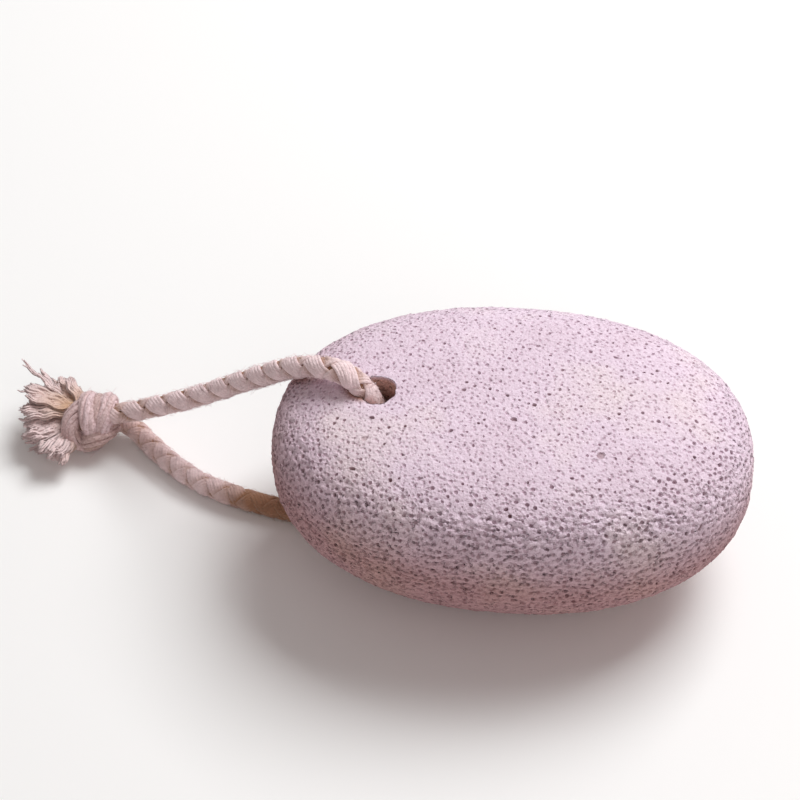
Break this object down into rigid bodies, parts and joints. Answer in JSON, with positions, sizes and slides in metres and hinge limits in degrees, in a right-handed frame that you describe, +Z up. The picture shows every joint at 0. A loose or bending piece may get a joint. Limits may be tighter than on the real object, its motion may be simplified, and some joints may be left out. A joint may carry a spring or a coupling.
{
  "type": "pumice stone",
  "caption": "Smooth oval pumice foot stone with a hole through one end, threaded on a loop of braided cotton rope tied in an overhand knot with frayed ends.",
  "frame": {"origin": "under the middle of the stone, on the surface that it rests on", "axes": "+X along the stone, away from the end with the rope; +Y across it; +Z up through its thickness"},
  "size_m": [0.1672, 0.0699, 0.0488],
  "materials": {
    "pumice": "dry matt foamed stone, pale lilac pink, pitted all over with small round pores",
    "cotton_rope": "undyed braided cotton, matt, with fine yarn lines along each strand",
    "cotton_knot": "undyed braided cotton, pulled tight",
    "cotton_fray": "loose undyed cotton fibres, matt"
  },
  "bodies": {
    "root": {"pumice_stone": "pumice", "rope_top_leg": "cotton_rope", "rope_bottom_leg": "cotton_rope", "rope_knot": "cotton_knot", "frayed_end_back": "cotton_fray", "frayed_end_front": "cotton_fray"}
  },
  "joints": []
}
